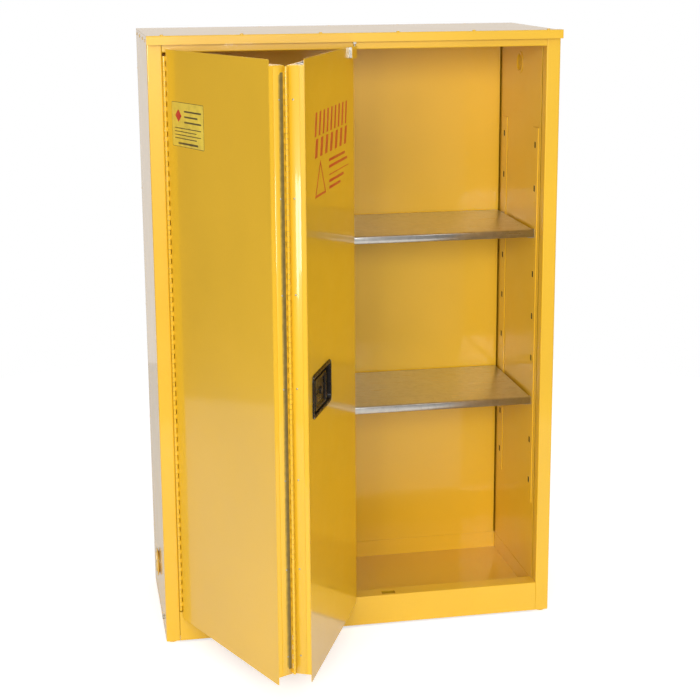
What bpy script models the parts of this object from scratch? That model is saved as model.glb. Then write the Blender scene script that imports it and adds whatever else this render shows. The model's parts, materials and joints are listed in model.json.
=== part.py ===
"""Flammable storage cabinet, 43 x 65 x 18 in: double-walled steel body, two lift-out
shelves, capped vents and one bi-fold door that runs in a track above the opening.

Metres, +Z up.  X is centred on the body, the cabinet faces -Y and stands on Z = 0.
Plan coordinates in the constants are measured from the front frame's face (Y = 0) with
the door closed.  The door's axes are empties, so opening the door is two rotations.
"""
import bpy
import bmesh
from math import atan2, cos, hypot, pi, radians, sin
from mathutils import Matrix, Vector

# ---- driving dimensions -------------------------------------------------------------
WIDTH = 1.092
HEIGHT = 1.651
DEPTH = 0.457
SHEET = 0.0012              # 18 gauge steel
WALL = 0.040                # outer face to inner face: two sheets and the air space
GAP = 0.0003                # left between touching pieces
BODY_BOTTOM = 0.0063        # the levelling feet lift the body this high
BEND = 0.0030               # outer radius of a folded edge

STILE = 0.038               # width of the front frame's uprights
FLANGE = 0.033              # how far the uprights and rail fold back into the opening
SILL_FLANGE = 0.050         # the same at the sill
OPENING_BOTTOM = 0.090
OPENING_TOP = 1.608
SUMP_FLOOR = 0.0392         # top of the spill sump's floor
SUMP_RIM = 0.0880

TRACK_FORWARD = 0.018       # the door track stands this far in front of the frame
TRACK_DROP = 0.023
TRACK_LAP = 0.014           # the track's top flange lies this far back on the top panel

DOOR_OPEN = radians(66.0)   # angle of each leaf to the frame
AXIS_FORWARD = 0.0055       # hinge pin and track line, in front of the frame
HINGE_X = -0.504
ROLLER_X = 0.501
FOLD_Y = 0.040              # the fold's pin lies in the plane of the leaves' inner faces
LEAF_THICK = 0.040
LEAF_BOTTOM = 0.095
LEAF_TOP = 1.602
SKIN_BOTTOM = 0.074
SKIN_TOP = 1.617
SKIN_BACK = -0.0006
SKIN_CORNER = 0.004
FOLD_GAP = 0.008            # from the fold's pin to each leaf's edge
LEFT_EDGE = -0.500
RIGHT_EDGE = 0.4995
RIGHT_SKIN_EDGE = 0.5025
NOTCH = (0.050, 0.028)      # cut from the right leaf's top free corner, along and down
RUNNER_FRONT = -0.011       # the notch's cover stands this far forward, round the stud
RUNNER_PLATE = 0.0020
ROLLER_ENDS = (1.6225, 1.6400)
ROLLER_R = 0.0045
STUD_R = 0.0020

KNUCKLE_R = 0.0036
BORE_R = 0.0019
PIN_R = 0.0015
KNUCKLES = 10
HINGE_ENDS = (0.097, 1.600)

HANDLE = (0.0435, 0.2275, 0.744, 0.856)     # escutcheon: x, x, z, z
PADDLE = (0.0560, 0.1700, 0.7600, 0.8400)
ESCUTCHEON = 0.0027
CUP_DEPTH = 0.020
CUP_FLOOR = 0.0025
SKIN_LAP = 0.0055           # the escutcheon covers the skin this far round its hole
CUP_OUTSIDE = 0.006         # the cup, in from the escutcheon's edge
CUP_INSIDE = 0.010
PLUG_R = 0.0092
PLUG_OFFSET = 0.010         # key plug, from the middle of the paddle
BARREL_R = 0.0058
PADDLE_PIN = (0.0610, 0.0030)
LATCH_X = 0.081
LATCH_Y = 0.019
LATCH_Z = 0.800
ROD_R = 0.0042
CRANK_ARM = 0.020
BOLT_PROUD = 0.004

SHELF_HALF = 0.5005
SHELF_FRONT = 0.056
SHELF_LIP = 0.021
SHELF_HEM = 0.014           # the lips fold back under the shelf this far
SHELF_TOPS = {"lower": 0.627, "upper": 1.105}
STANDARD_COLUMNS = {"front": 0.070, "rear": 0.365}
STANDARD_WIDTH = 0.045
STANDARD_STAND = 0.003      # how far a standard stands off the wall
STANDARD_ENDS = (0.315, 1.385)
SLOT_FIRST = 0.377
SLOT_PITCH = 0.120
SLOT_COUNT = 9
SLOT = (0.0130, 0.016)
CLIP_WIDTH = 0.016
HOOK_WIDTH = 0.003

VENT_Y = 0.235
VENT_Z = {"left": 0.148, "right": 1.550}
VENT_R = 0.029
VENT_BORE_R = 0.0254
CAP_R = 0.0400
CAP_THICK = 0.006

GROUND_AT = (0.089, 0.041)  # ground screw on the left side: y, z
GROUND_R = (0.0060, 0.0028)                 # head, shank

FOOT_R = 0.0150
FOOT_STEM_R = 0.0048
FOOT_X = 0.528
FOOT_YS = {"front": 0.022, "rear": 0.435}
STRIKE = (0.038, 0.010, 0.028)              # slot for a latch bolt: width, y, y

SIDES = {"left": -1, "right": 1}
HALF = WIDTH / 2
INNER = HALF - WALL                         # inner faces of the side walls
INNER_BACK = DEPTH - WALL
OPENING_HALF = HALF - STILE
FOLD_X = (HINGE_X + ROLLER_X) / 2

COLORS = {
    "yellow": ((0.86, 0.55, 0.05), 0.30, 0.0),
    "zinc": ((0.62, 0.63, 0.62), 0.35, 0.9),
    "galvanised": ((0.55, 0.56, 0.56), 0.42, 0.85),
    "black": ((0.03, 0.026, 0.024), 0.38, 0.0),
    "nylon": ((0.80, 0.79, 0.75), 0.45, 0.0),
}


def material(name):
    """One Principled material for each colour, shared by the pieces that have it."""
    mat = bpy.data.materials.get(name)
    if mat is None:
        mat = bpy.data.materials.new(name)
        mat.use_nodes = True
        shader = mat.node_tree.nodes["Principled BSDF"]
        color, roughness, metallic = COLORS[name]
        shader.inputs["Base Color"].default_value = (*color, 1.0)
        shader.inputs["Roughness"].default_value = roughness
        shader.inputs["Metallic"].default_value = metallic
    return mat


class Frame:
    """An empty at a point of the closed cabinet; pieces are placed in closed coordinates."""

    def __init__(self, name, origin, parent=None, turn=0.0):
        self.origin = Vector(origin)
        self.empty = bpy.data.objects.new(name, None)
        self.empty.empty_display_size = 0.05
        parts.objects.link(self.empty)
        if parent:
            self.empty.parent = parent.empty
            self.empty.location = self.origin - parent.origin
        self.empty.rotation_euler.z = turn

    def hold(self, obj):
        obj.parent = self.empty
        obj.location = obj.location - self.origin


def add(name, bm, at, color, frame, smooth=False):
    """Turn a bmesh into a named piece at a point of the closed cabinet."""
    mesh = bpy.data.meshes.new(name)
    bmesh.ops.recalc_face_normals(bm, faces=bm.faces)
    bm.to_mesh(mesh)
    bm.free()
    if smooth:
        mesh.shade_smooth()
        mesh.set_sharp_from_angle(angle=radians(35))
    obj = bpy.data.objects.new(name, mesh)
    obj.location = at
    if color:
        mesh.materials.append(material(color))
        parts.objects.link(obj)
    else:
        cutters.objects.link(obj)
        obj.hide_render = True
        obj.display_type = "WIRE"
    frame.hold(obj)
    return obj


def block(x0, x1, y0, y1, z0, z1, bevel=0.0, along=None, segments=3):
    """A box about its own centre, its edges along one axis rounded, and that centre."""
    bm = bmesh.new()
    size = Vector((x1 - x0, y1 - y0, z1 - z0))
    bmesh.ops.create_cube(bm, size=1.0, matrix=Matrix.Diagonal((*size, 1.0)))
    if bevel:
        way = Vector([float(axis == along) for axis in "XYZ"])
        edges = [e for e in bm.edges
                 if abs((e.verts[1].co - e.verts[0].co).normalized().dot(way)) > 0.9]
        bmesh.ops.bevel(bm, geom=edges, offset=bevel, segments=segments, affect="EDGES",
                        profile=0.5)
    return bm, Vector((x0 + x1, y0 + y1, z0 + z1)) / 2


def box(name, limits, color, frame, **rounding):
    bm, centre = block(*limits, **rounding)
    return add(name, bm, centre, color, frame)


TURNS = {"X": Matrix.Rotation(pi / 2, 4, "Y"), "Y": Matrix.Rotation(-pi / 2, 4, "X"),
         "Z": Matrix.Identity(4)}


def rod(name, centre, radius, length, along, color, frame, sides=16):
    """A cylinder about its centre."""
    bm = bmesh.new()
    bmesh.ops.create_cone(bm, cap_ends=True, segments=sides, radius1=radius, radius2=radius,
                          depth=length, matrix=TURNS[along])
    return add(name, bm, centre, color, frame, smooth=True)


def change(obj, operation, other):
    """Cut or join one piece with another shape, which stays among the cutters."""
    mod = obj.modifiers.new(operation.title(), "BOOLEAN")
    mod.operation = operation
    mod.object = other
    mod.solver = "EXACT"


def cut(obj, other):
    change(obj, "DIFFERENCE", other)


def join(obj, other):
    change(obj, "UNION", other)


def bent(points, radius, steps=3):
    """The same path with each inner corner rounded by an arc."""
    path = [Vector(points[0])]
    for before, corner, after in zip(points, points[1:], points[2:]):
        corner = Vector(corner)
        a = (Vector(before) - corner).normalized()
        b = (Vector(after) - corner).normalized()
        centre = corner + (a + b) * radius       # right-angled bends only
        for i in range(steps + 1):
            t = i / steps * pi / 2
            path.append(centre - b * radius * cos(t) - a * radius * sin(t))
    path.append(Vector(points[-1]))
    return path


def folded(name, points, along, span, color, frame):
    """Sheet folded along a path of its outer face, drawn out along one axis."""
    bm = bmesh.new()
    centre = Vector((0, 0, 0))
    axis = "XYZ".index(along)
    centre[axis] = sum(span) / 2
    half = (span[1] - span[0]) / 2
    rails = []
    for end in (-half, half):
        rail = []
        for u, v in bent(points, BEND):
            co = [u, v]
            co.insert(axis, end)
            rail.append(bm.verts.new(co))
        rails.append(rail)
    for i in range(len(rails[0]) - 1):
        bm.faces.new((rails[0][i], rails[0][i + 1], rails[1][i + 1], rails[1][i]))
    mesh = bpy.data.meshes.new(name)
    bm.to_mesh(mesh)
    bm.free()
    mesh.materials.append(material(color))
    obj = bpy.data.objects.new(name, mesh)
    parts.objects.link(obj)
    obj.location = centre
    frame.hold(obj)
    solid = obj.modifiers.new("Sheet", "SOLIDIFY")
    solid.thickness = SHEET
    solid.offset = -1
    solid.use_even_offset = True
    return obj


# ---- body ---------------------------------------------------------------------------
def body_shell(frame):
    """The outer skins. Each side sheet folds round to make the front frame's upright."""
    top = HEIGHT - 2 * (SHEET + GAP)
    for side, sign in SIDES.items():
        path = [(sign * HALF, DEPTH), (sign * HALF, 0),
                (sign * OPENING_HALF, 0), (sign * OPENING_HALF, FLANGE - SHEET)]
        if sign > 0:
            path.reverse()
        shell = folded(f"side_shell_{side}", path, "Z", (BODY_BOTTOM, top - GAP),
                       "yellow", frame)
        cut(shell, rod(f"vent_hole_outer_{side}", (sign * (HALF - SHEET), VENT_Y, VENT_Z[side]),
                       VENT_R + 2 * GAP, 0.02, "X", None, frame, 24))
        if side == "left":
            cut(shell, rod("ground_hole", (-HALF, *GROUND_AT), GROUND_R[1] + 2 * GAP, 0.02,
                           "X", None, frame, 12))
    inside = HALF - SHEET - GAP
    box("back_panel", (-inside, inside, DEPTH - SHEET, DEPTH, BODY_BOTTOM, top - GAP),
        "yellow", frame)
    box("top_panel", (-HALF, HALF, 0, DEPTH, top, top + SHEET), "yellow", frame)
    bottom = box("bottom_panel", (-inside, inside, 4 * SHEET, DEPTH - SHEET - GAP,
                                  BODY_BOTTOM, BODY_BOTTOM + SHEET), "yellow", frame)
    # Between the uprights the panel stops behind the sill; under them it holds the front feet.
    between = OPENING_HALF + 2 * SHEET
    cut(bottom, box("bottom_front_cut", (-between, between, -0.01, FLANGE + GAP,
                                         BODY_BOTTOM - 0.01, BODY_BOTTOM + 0.01), None, frame))
    for side, sign in SIDES.items():
        for row, y in FOOT_YS.items():
            cut(bottom, rod(f"foot_hole_{row}_{side}", (sign * FOOT_X, y, BODY_BOTTOM),
                            FOOT_STEM_R + 0.0006, 0.01, "Z", None, frame, 16))


def strike_slot(obj, z, frame):
    half = STRIKE[0] / 2
    cut(obj, box(f"strike_slot_{obj.name}", (LATCH_X - half, LATCH_X + half, STRIKE[1],
                                             STRIKE[2], z - 0.005, z + 0.005), None, frame))


def front_frame(frame):
    """Rail and sill between the uprights, and the channel that the door's roller runs in."""
    reach = OPENING_HALF - GAP
    top = HEIGHT - 2 * (SHEET + GAP) - GAP
    rail = folded("top_rail", [(0, top), (0, OPENING_TOP), (FLANGE, OPENING_TOP)],
                  "X", (-reach, reach), "yellow", frame)
    strike_slot(rail, OPENING_TOP, frame)
    sill = folded("sill", [(SILL_FLANGE, SUMP_FLOOR + GAP), (SILL_FLANGE, OPENING_BOTTOM),
                           (0, OPENING_BOTTOM), (0, BODY_BOTTOM)],
                  "X", (-reach, reach), "yellow", frame)
    for side, sign in SIDES.items():
        x0, x1 = sorted((sign * (INNER - GAP), sign * HALF))
        cut(sill, box(f"sill_notch_{side}", (x0, x1, FLANGE, SILL_FLANGE + 0.01, 0, 0.1),
                      None, frame))
    strike_slot(sill, OPENING_BOTTOM, frame)
    folded("door_track", [(TRACK_LAP, HEIGHT), (-TRACK_FORWARD, HEIGHT),
                          (-TRACK_FORWARD, HEIGHT - TRACK_DROP)],
           "X", (-HALF - 0.001, HALF + 0.001), "yellow", frame)


def lining(frame):
    """Inner walls, ceiling and the floor of the spill sump."""
    ceiling = OPENING_TOP + SHEET + GAP
    floor = SUMP_FLOOR + GAP
    for side, sign in SIDES.items():
        x0, x1 = sorted((sign * INNER, sign * (INNER + SHEET)))
        wall = box(f"liner_{side}", (x0, x1, FLANGE + GAP, INNER_BACK + SHEET, floor,
                                     ceiling - GAP), "yellow", frame)
        cut(wall, rod(f"vent_hole_inner_{side}", (sign * INNER, VENT_Y, VENT_Z[side]),
                      VENT_R + 2 * GAP, 0.02, "X", None, frame, 24))
    corner = INNER - 0.004                  # the back stops short of the side walls
    box("liner_back", (-corner, corner, INNER_BACK, INNER_BACK + SHEET, floor, ceiling - GAP),
        "yellow", frame)
    box("liner_top", (-INNER, INNER, FLANGE - 0.003, INNER_BACK, ceiling, ceiling + SHEET),
        "yellow", frame)
    inside = INNER - GAP
    front = SILL_FLANGE + GAP
    sump = box("sump_floor", (-inside, inside, front, INNER_BACK - GAP, SUMP_FLOOR - SHEET,
                              SUMP_RIM), "yellow", frame)
    cut(sump, box("sump_hollow", (SHEET - inside, inside - SHEET, 0,
                                  INNER_BACK - GAP - SHEET, SUMP_FLOOR, 0.2), None, frame))


def vents(frame):
    """A bush through the double wall, its flame arrester, and a screwed cap outside."""
    for side, sign in SIDES.items():
        z = VENT_Z[side]

        def part(name, inner, outer, radius, color, holder=frame, sides=24):
            x0, x1 = sign * inner, sign * outer
            return rod(name, ((x0 + x1) / 2, VENT_Y, z), radius, abs(x1 - x0), "X", color,
                       holder, sides)

        outside = HALF + GAP
        bush = part(f"vent_bush_{side}", INNER - 0.002, outside + 0.002, VENT_R, "zinc")
        join(bush, part(f"vent_collar_{side}", outside, outside + 0.002, VENT_R + 0.003, None))
        join(bush, part(f"vent_lip_{side}", INNER - 0.002, INNER - GAP, VENT_R + 0.002, None))
        cut(bush, part(f"vent_bore_{side}", INNER - 0.01, outside + 0.01, VENT_BORE_R, None))
        part(f"flame_arrester_{side}", INNER - 0.001, INNER + 0.009, VENT_BORE_R - 0.0005,
             "zinc")
        axis = Frame(f"vent_cap_axis_{side}", (sign * HALF, VENT_Y, z), frame)
        face = outside + 0.002 + GAP
        cap = part(f"vent_cap_{side}", face, face + CAP_THICK, CAP_R, "yellow", axis)
        join(cap, part(f"vent_plug_{side}", face - 0.012, face + 0.002, VENT_BORE_R - 0.0008,
                       None, axis))


def feet(frame):
    """Screwed levelling feet: a disc on the floor and a stem up through the bottom."""
    for side, sign in SIDES.items():
        for row, y in FOOT_YS.items():
            axis = Frame(f"foot_axis_{row}_{side}", (sign * FOOT_X, y, 0), frame)
            disc = BODY_BOTTOM - GAP
            foot = rod(f"foot_{row}_{side}", (sign * FOOT_X, y, disc / 2), FOOT_R, disc, "Z",
                       "yellow", axis, 24)
            join(foot, rod(f"foot_stem_{row}_{side}", (sign * FOOT_X, y, 0.018), FOOT_STEM_R,
                           0.030, "Z", None, axis, 12))


def ground_screw(frame):
    head, shank = GROUND_R
    screw = rod("ground_screw", (-HALF - GAP - 0.002, *GROUND_AT), head, 0.004, "X", "zinc",
                frame, 6)
    join(screw, rod("ground_shank", (-HALF + 0.004, *GROUND_AT), shank, 0.012, "X", None,
                    frame, 12))


# ---- shelves ------------------------------------------------------------------------
def standards(frame):
    """Slotted strips on the side walls that carry the shelf clips."""
    for side, sign in SIDES.items():
        face = INNER - STANDARD_STAND
        for column, y in STANDARD_COLUMNS.items():
            half = STANDARD_WIDTH / 2
            x0, x1 = sorted((sign * face, sign * (INNER - GAP)))
            strip = box(f"shelf_standard_{column}_{side}", (x0, x1, y - half, y + half,
                                                            *STANDARD_ENDS), "yellow", frame)
            x0, x1 = sorted((sign * (face + SHEET), sign * (INNER + 0.001)))
            cut(strip, box(f"standard_hollow_{column}_{side}",
                           (x0, x1, y - half + SHEET, y + half - SHEET,
                            STANDARD_ENDS[0] - 0.01, STANDARD_ENDS[1] + 0.01), None, frame))
            x0, x1 = sorted((sign * (face - 0.002), sign * (face + 0.002)))
            for i in range(SLOT_COUNT):
                z = SLOT_FIRST + SLOT_PITCH * i
                cut(strip, box(f"standard_slot_{column}_{side}_{i}",
                               (x0, x1, y - SLOT[0] / 2, y + SLOT[0] / 2,
                                z - SLOT[1] / 2, z + SLOT[1] / 2), None, frame))


def shelf(level, top, frame):
    """A shelf folded down at its edges, and the clips under it that hook into the standards."""
    lift = Frame(f"shelf_lift_{level}", (0, 0, top), frame)
    back = INNER_BACK - 0.006
    under = top - SHELF_LIP

    def inner(name, inset, z0, z1):
        half = SHELF_HALF - inset
        return box(name, (-half, half, SHELF_FRONT + inset, back - inset, z0, z1), None, lift)

    plate = box(f"shelf_{level}", (-SHELF_HALF, SHELF_HALF, SHELF_FRONT, back, under, top),
                "galvanised", lift)
    cut(plate, inner(f"shelf_hollow_{level}", SHEET, under + SHEET, top - SHEET))
    cut(plate, inner(f"shelf_mouth_{level}", SHELF_HEM, under - 0.01, under + 2 * SHEET))
    seat = top - SHELF_LIP - GAP
    hook_z = SLOT_FIRST + SLOT_PITCH * round((top - SLOT_FIRST) / SLOT_PITCH)
    for side, sign in SIDES.items():
        for column, y in STANDARD_COLUMNS.items():
            name = f"shelf_clip_{level}_{column}_{side}"
            face = INNER - STANDARD_STAND
            half = CLIP_WIDTH / 2
            x0, x1 = sorted((sign * (SHELF_HALF - 0.016), sign * (face - GAP)))
            clip = box(name, (x0, x1, y - half, y + half, seat - 0.002, seat), "zinc", frame)
            x0, x1 = sorted((sign * (SHELF_HALF + GAP), sign * (face - GAP)))
            join(clip, box(f"{name}_back", (x0, x1, y - half, y + half, seat - 0.002,
                                            hook_z + 0.008), None, frame))
            x0, x1 = sorted((sign * (face - 0.001), sign * (face + 0.0022)))
            half = HOOK_WIDTH / 2
            join(clip, box(f"{name}_hook", (x0, x1, y - half, y + half, hook_z - 0.006,
                                            hook_z + 0.006), None, frame))


# ---- door ---------------------------------------------------------------------------
def hinge_leaf(name, axis_point, side, plate, reach, own, frame):
    """One leaf of a piano hinge: its plate, its share of the knuckles, and their bore.

    side is the plate's side of the pin in X, plate its near and far distance from the pin
    there, and reach how far it runs from the pin in Y."""
    x, y = axis_point
    bottom, top = HINGE_ENDS
    clear = 0.004 if reach > 0 else -0.004
    x0, x1 = sorted((x + side * plate[0], x + side * plate[1]))
    y0, y1 = sorted((y + clear, y + reach))
    leaf = box(name, (x0, x1, y0, y1, bottom, top), "yellow", frame)
    step = (top - bottom) / KNUCKLES
    for i in range(own, KNUCKLES, 2):
        z0, z1 = bottom + i * step + GAP, bottom + (i + 1) * step - GAP
        x0, x1 = sorted((x + side * 0.0023, x + side * plate[1]))
        y0, y1 = sorted((y - clear * 0.3, y + clear * 1.2))
        join(leaf, box(f"{name}_tab_{i}", (x0, x1, y0, y1, z0, z1), None, frame))
        join(leaf, rod(f"{name}_knuckle_{i}", (x, y, (z0 + z1) / 2), KNUCKLE_R, z1 - z0, "Z",
                       None, frame, 12))
    cut(leaf, rod(f"{name}_bore", (x, y, (bottom + top) / 2), BORE_R, top - bottom + 0.02,
                  "Z", None, frame, 12))
    return leaf


def hinge_pin(name, axis_point, frame):
    bottom, top = HINGE_ENDS
    rod(name, (*axis_point, (bottom + top) / 2), PIN_R, top - bottom, "Z", "zinc", frame, 12)


def left_leaf(door):
    edge = FOLD_X - FOLD_GAP
    box("door_left_skin", (LEFT_EDGE, edge, SKIN_BACK - SHEET, SKIN_BACK, SKIN_BOTTOM,
                           SKIN_TOP), "yellow", door, bevel=SKIN_CORNER, along="Y")
    pan = box("door_left_pan", (LEFT_EDGE, edge, SKIN_BACK + GAP, LEAF_THICK, LEAF_BOTTOM,
                                LEAF_TOP), "yellow", door)
    cut(pan, box("door_left_hollow", (LEFT_EDGE + SHEET, edge - SHEET, -0.01,
                                      LEAF_THICK - SHEET, LEAF_BOTTOM + SHEET,
                                      LEAF_TOP - SHEET), None, door))


def right_leaf(door):
    edge = FOLD_X + FOLD_GAP
    notch_x = RIGHT_SKIN_EDGE - NOTCH[0]
    notch_z = SKIN_TOP - NOTCH[1]
    skin = box("door_right_skin", (edge, RIGHT_SKIN_EDGE, SKIN_BACK - SHEET, SKIN_BACK,
                                   SKIN_BOTTOM, SKIN_TOP), "yellow", door,
               bevel=SKIN_CORNER, along="Y")
    notch = box("door_right_notch", (notch_x, 0.6, -0.01, LEAF_THICK + 0.01, notch_z,
                                     SKIN_TOP + 0.01), None, door)
    cut(skin, notch)
    foot = notch_z - 2 * SHEET
    join(skin, box("runner_cover_foot", (notch_x + 2 * GAP, RIGHT_SKIN_EDGE - 2 * GAP,
                                         RUNNER_FRONT + SHEET / 2, SKIN_BACK - SHEET / 2,
                                         foot + GAP, foot + SHEET), None, door))
    join(skin, box("runner_cover", (notch_x + GAP, RIGHT_SKIN_EDGE - GAP, RUNNER_FRONT,
                                    RUNNER_FRONT + SHEET, foot, SKIN_TOP), None, door))
    x0, x1, z0, z1 = HANDLE
    x0, x1, z0, z1 = x0 + SKIN_LAP, x1 - SKIN_LAP, z0 + SKIN_LAP, z1 - SKIN_LAP
    cut(skin, box("handle_hole", (x0, x1, -0.01, 0.01, z0, z1), None, door))
    pan = box("door_right_pan", (edge, RIGHT_EDGE, SKIN_BACK + GAP, LEAF_THICK, LEAF_BOTTOM,
                                 LEAF_TOP), "yellow", door)
    cut(pan, box("door_right_hollow", (edge + SHEET, RIGHT_EDGE - SHEET, -0.01,
                                       LEAF_THICK - SHEET, LEAF_BOTTOM + SHEET,
                                       notch_z - SHEET), None, door))
    cut(pan, box("door_right_hollow_top", (edge + SHEET, notch_x - SHEET, -0.01,
                                           LEAF_THICK - SHEET, notch_z - 0.01,
                                           LEAF_TOP - SHEET), None, door))
    cut(pan, notch)
    for end, z in (("bottom", LEAF_BOTTOM), ("top", LEAF_TOP)):
        cut(pan, rod(f"bolt_hole_{end}", (LATCH_X, LATCH_Y, z), ROD_R + 0.0006, 0.01, "Z",
                     None, door, 16))


def handle(door):
    """The recessed paddle handle: cup, paddle on its pin, key plug and the latch crank."""
    x0, x1, z0, z1 = HANDLE
    face = SKIN_BACK - SHEET - GAP
    front = face - ESCUTCHEON
    cup = box("handle_cup", (x0, x1, front, face, z0, z1), "black", door, bevel=0.012,
              along="Y")
    inset = CUP_OUTSIDE
    join(cup, box("cup_body", (x0 + inset, x1 - inset, face - 0.001, CUP_DEPTH, z0 + inset,
                               z1 - inset), None, door, bevel=0.006, along="Y"))
    inset = CUP_INSIDE
    cut(cup, box("cup_recess", (x0 + inset, x1 - inset, front - 0.01, CUP_DEPTH - CUP_FLOOR,
                                z0 + inset, z1 - inset), None, door, bevel=0.006, along="Y"))
    pin_x, pin_y = PADDLE_PIN
    px0, px1, pz0, pz1 = PADDLE
    tilt = Frame("paddle_axis", (pin_x, pin_y, LATCH_Z), door)
    paddle = box("paddle", (pin_x, px1, front + 0.0008, front + 0.0058, pz0, pz1), "black",
                 tilt, bevel=0.0015, along="Z")
    join(paddle, rod("paddle_barrel", (pin_x, pin_y, LATCH_Z), BARREL_R, pz1 - pz0, "Z", None,
                     tilt, 20))
    cut(paddle, rod("paddle_bore", (pin_x, pin_y, LATCH_Z), 0.0024, 0.2, "Z", None, tilt, 16))
    pin_ends = (z0 + inset + GAP, z1 - inset - GAP)
    rod("paddle_pin", (pin_x, pin_y, LATCH_Z), 0.0020, pin_ends[1] - pin_ends[0], "Z", "zinc",
        door, 16)
    plug_x = (pin_x + px1) / 2 + PLUG_OFFSET
    key = Frame("lock_axis", (plug_x, front, LATCH_Z), tilt)
    cut(paddle, rod("plug_hole", (plug_x, front, LATCH_Z), PLUG_R + 2 * GAP, 0.03, "Y", None, tilt, 24))
    plug = rod("lock_plug", (plug_x, front + 0.005, LATCH_Z), PLUG_R, 0.010, "Y", "zinc",
               key, 24)
    cut(plug, box("key_slot", (plug_x - 0.0009, plug_x + 0.0009, front - 0.01, front + 0.004,
                               LATCH_Z - 0.0042, LATCH_Z + 0.0042), None, key))
    turn = Frame("crank_axis", (LATCH_X, 0.028, LATCH_Z), door)
    crank = box("latch_crank", (LATCH_X - CRANK_ARM - 0.006, LATCH_X + CRANK_ARM + 0.006,
                                0.0275, 0.0300, LATCH_Z - 0.007, LATCH_Z + 0.007), "zinc",
                turn, bevel=0.004, along="Y")
    join(crank, rod("crank_hub", (LATCH_X, 0.0252, LATCH_Z), 0.006, 0.0096, "Y", None, turn,
                    16))


def latch_rods(door):
    """Two rods up and down from the crank; their ends are the bolts."""
    reach = 0.070
    for end, way, x in (("upper", 1, LATCH_X - CRANK_ARM), ("lower", -1, LATCH_X + CRANK_ARM)):
        tip = LEAF_TOP + BOLT_PROUD if way > 0 else LEAF_BOTTOM - BOLT_PROUD
        start = LATCH_Z + way * reach
        slide = Frame(f"{end}_rod_axis", (LATCH_X, LATCH_Y, start), door)
        bar = rod(f"{end}_latch_rod", (LATCH_X, LATCH_Y, (start + tip) / 2), ROD_R,
                  abs(tip - start), "Z", "zinc", slide, 16)
        xs = sorted((LATCH_X + way * 0.003, x - way * 0.006))
        zs = sorted((start - way * 0.001, start + way * 0.014))
        join(bar, box(f"{end}_rod_foot", (*xs, 0.0150, 0.0270, *zs), None, slide))
        zs = sorted((LATCH_Z - way * 0.005, start + way * 0.013))
        join(bar, box(f"{end}_rod_strap", (x - 0.006, x + 0.006, 0.0240, 0.0268, *zs), None,
                      slide))


def track_runner(door):
    """Bracket in the leaf's notch, its stud, and the roller in the track."""
    left = RIGHT_SKIN_EDGE - NOTCH[0] + GAP
    front = RUNNER_FRONT + SHEET + GAP
    seat = SKIN_TOP - NOTCH[1] + GAP
    plate = (seat, seat + RUNNER_PLATE)
    bracket = box("roller_bracket", (left, ROLLER_X + STUD_R, front, LEAF_THICK - 0.010,
                                     *plate), "zinc", door)
    join(bracket, box("bracket_leg", (left, left + RUNNER_PLATE, front, -GAP, seat,
                                      SKIN_TOP - 0.001), None, door))
    axis = (ROLLER_X, -AXIS_FORWARD)
    ends = (plate[1] + GAP, ROLLER_ENDS[1] + 0.002)
    rod("roller_stud", (*axis, sum(ends) / 2), STUD_R, ends[1] - ends[0], "Z", "zinc", door)
    spin = Frame("roller_axis", (*axis, OPENING_TOP), door)
    middle = sum(ROLLER_ENDS) / 2
    roller = rod("track_roller", (*axis, middle), ROLLER_R, ROLLER_ENDS[1] - ROLLER_ENDS[0],
                 "Z", "nylon", spin, 20)
    cut(roller, rod("roller_bore", (*axis, middle), STUD_R + GAP, 0.05, "Z", None, spin))


def bifold_door(frame):
    hinge = Frame("door_hinge_axis", (HINGE_X, -AXIS_FORWARD, 0), frame, -DOOR_OPEN)
    fold = Frame("fold_hinge_axis", (FOLD_X, FOLD_Y, 0), hinge, 2 * DOOR_OPEN)
    pin = (HINGE_X, -AXIS_FORWARD)
    hinge_leaf("frame_hinge_leaf", pin, -1, (0.0027, 0.0037), 0.030, 0, frame)
    hinge_leaf("door_hinge_leaf", pin, 1, (0.0027, 0.0037), 0.030, 1, hinge)
    hinge_pin("door_hinge_pin", pin, frame)
    pin = (FOLD_X, FOLD_Y)
    plate = (FOLD_GAP - GAP - 0.001, FOLD_GAP - GAP)
    hinge_leaf("fold_leaf_left", pin, -1, plate, -0.030, 0, hinge)
    hinge_leaf("fold_leaf_right", pin, 1, plate, -0.030, 1, fold)
    hinge_pin("fold_hinge_pin", pin, hinge)
    left_leaf(hinge)
    right_leaf(fold)
    handle(fold)
    latch_rods(fold)
    track_runner(fold)


def front_plane():
    """Where the frame's face goes so that the whole part is centred on Y = 0."""
    corner = (FOLD_X - FOLD_GAP - HINGE_X, SKIN_BACK - SHEET + AXIS_FORWARD)
    swing = DOOR_OPEN - atan2(corner[1], corner[0])
    reach = AXIS_FORWARD + hypot(*corner) * sin(swing)
    return (reach - DEPTH) / 2


for old in list(bpy.data.objects):
    bpy.data.objects.remove(old)
parts = bpy.data.collections.new("flammable_storage_cabinet")
cutters = bpy.data.collections.new("cutters")
bpy.context.scene.collection.children.link(parts)
bpy.context.scene.collection.children.link(cutters)

cabinet = Frame("cabinet_front_plane", (0, 0, 0))
cabinet.empty.location.y = front_plane()
body_shell(cabinet)
front_frame(cabinet)
lining(cabinet)
vents(cabinet)
feet(cabinet)
ground_screw(cabinet)
standards(cabinet)
for level, top in SHELF_TOPS.items():
    shelf(level, top, cabinet)
bifold_door(cabinet)
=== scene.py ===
"""Flammable storage cabinet: the looks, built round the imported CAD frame."""
import bpy
import bmesh
import json
from math import atan2, cos, pi, radians, sin
from mathutils import Matrix, Vector


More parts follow.
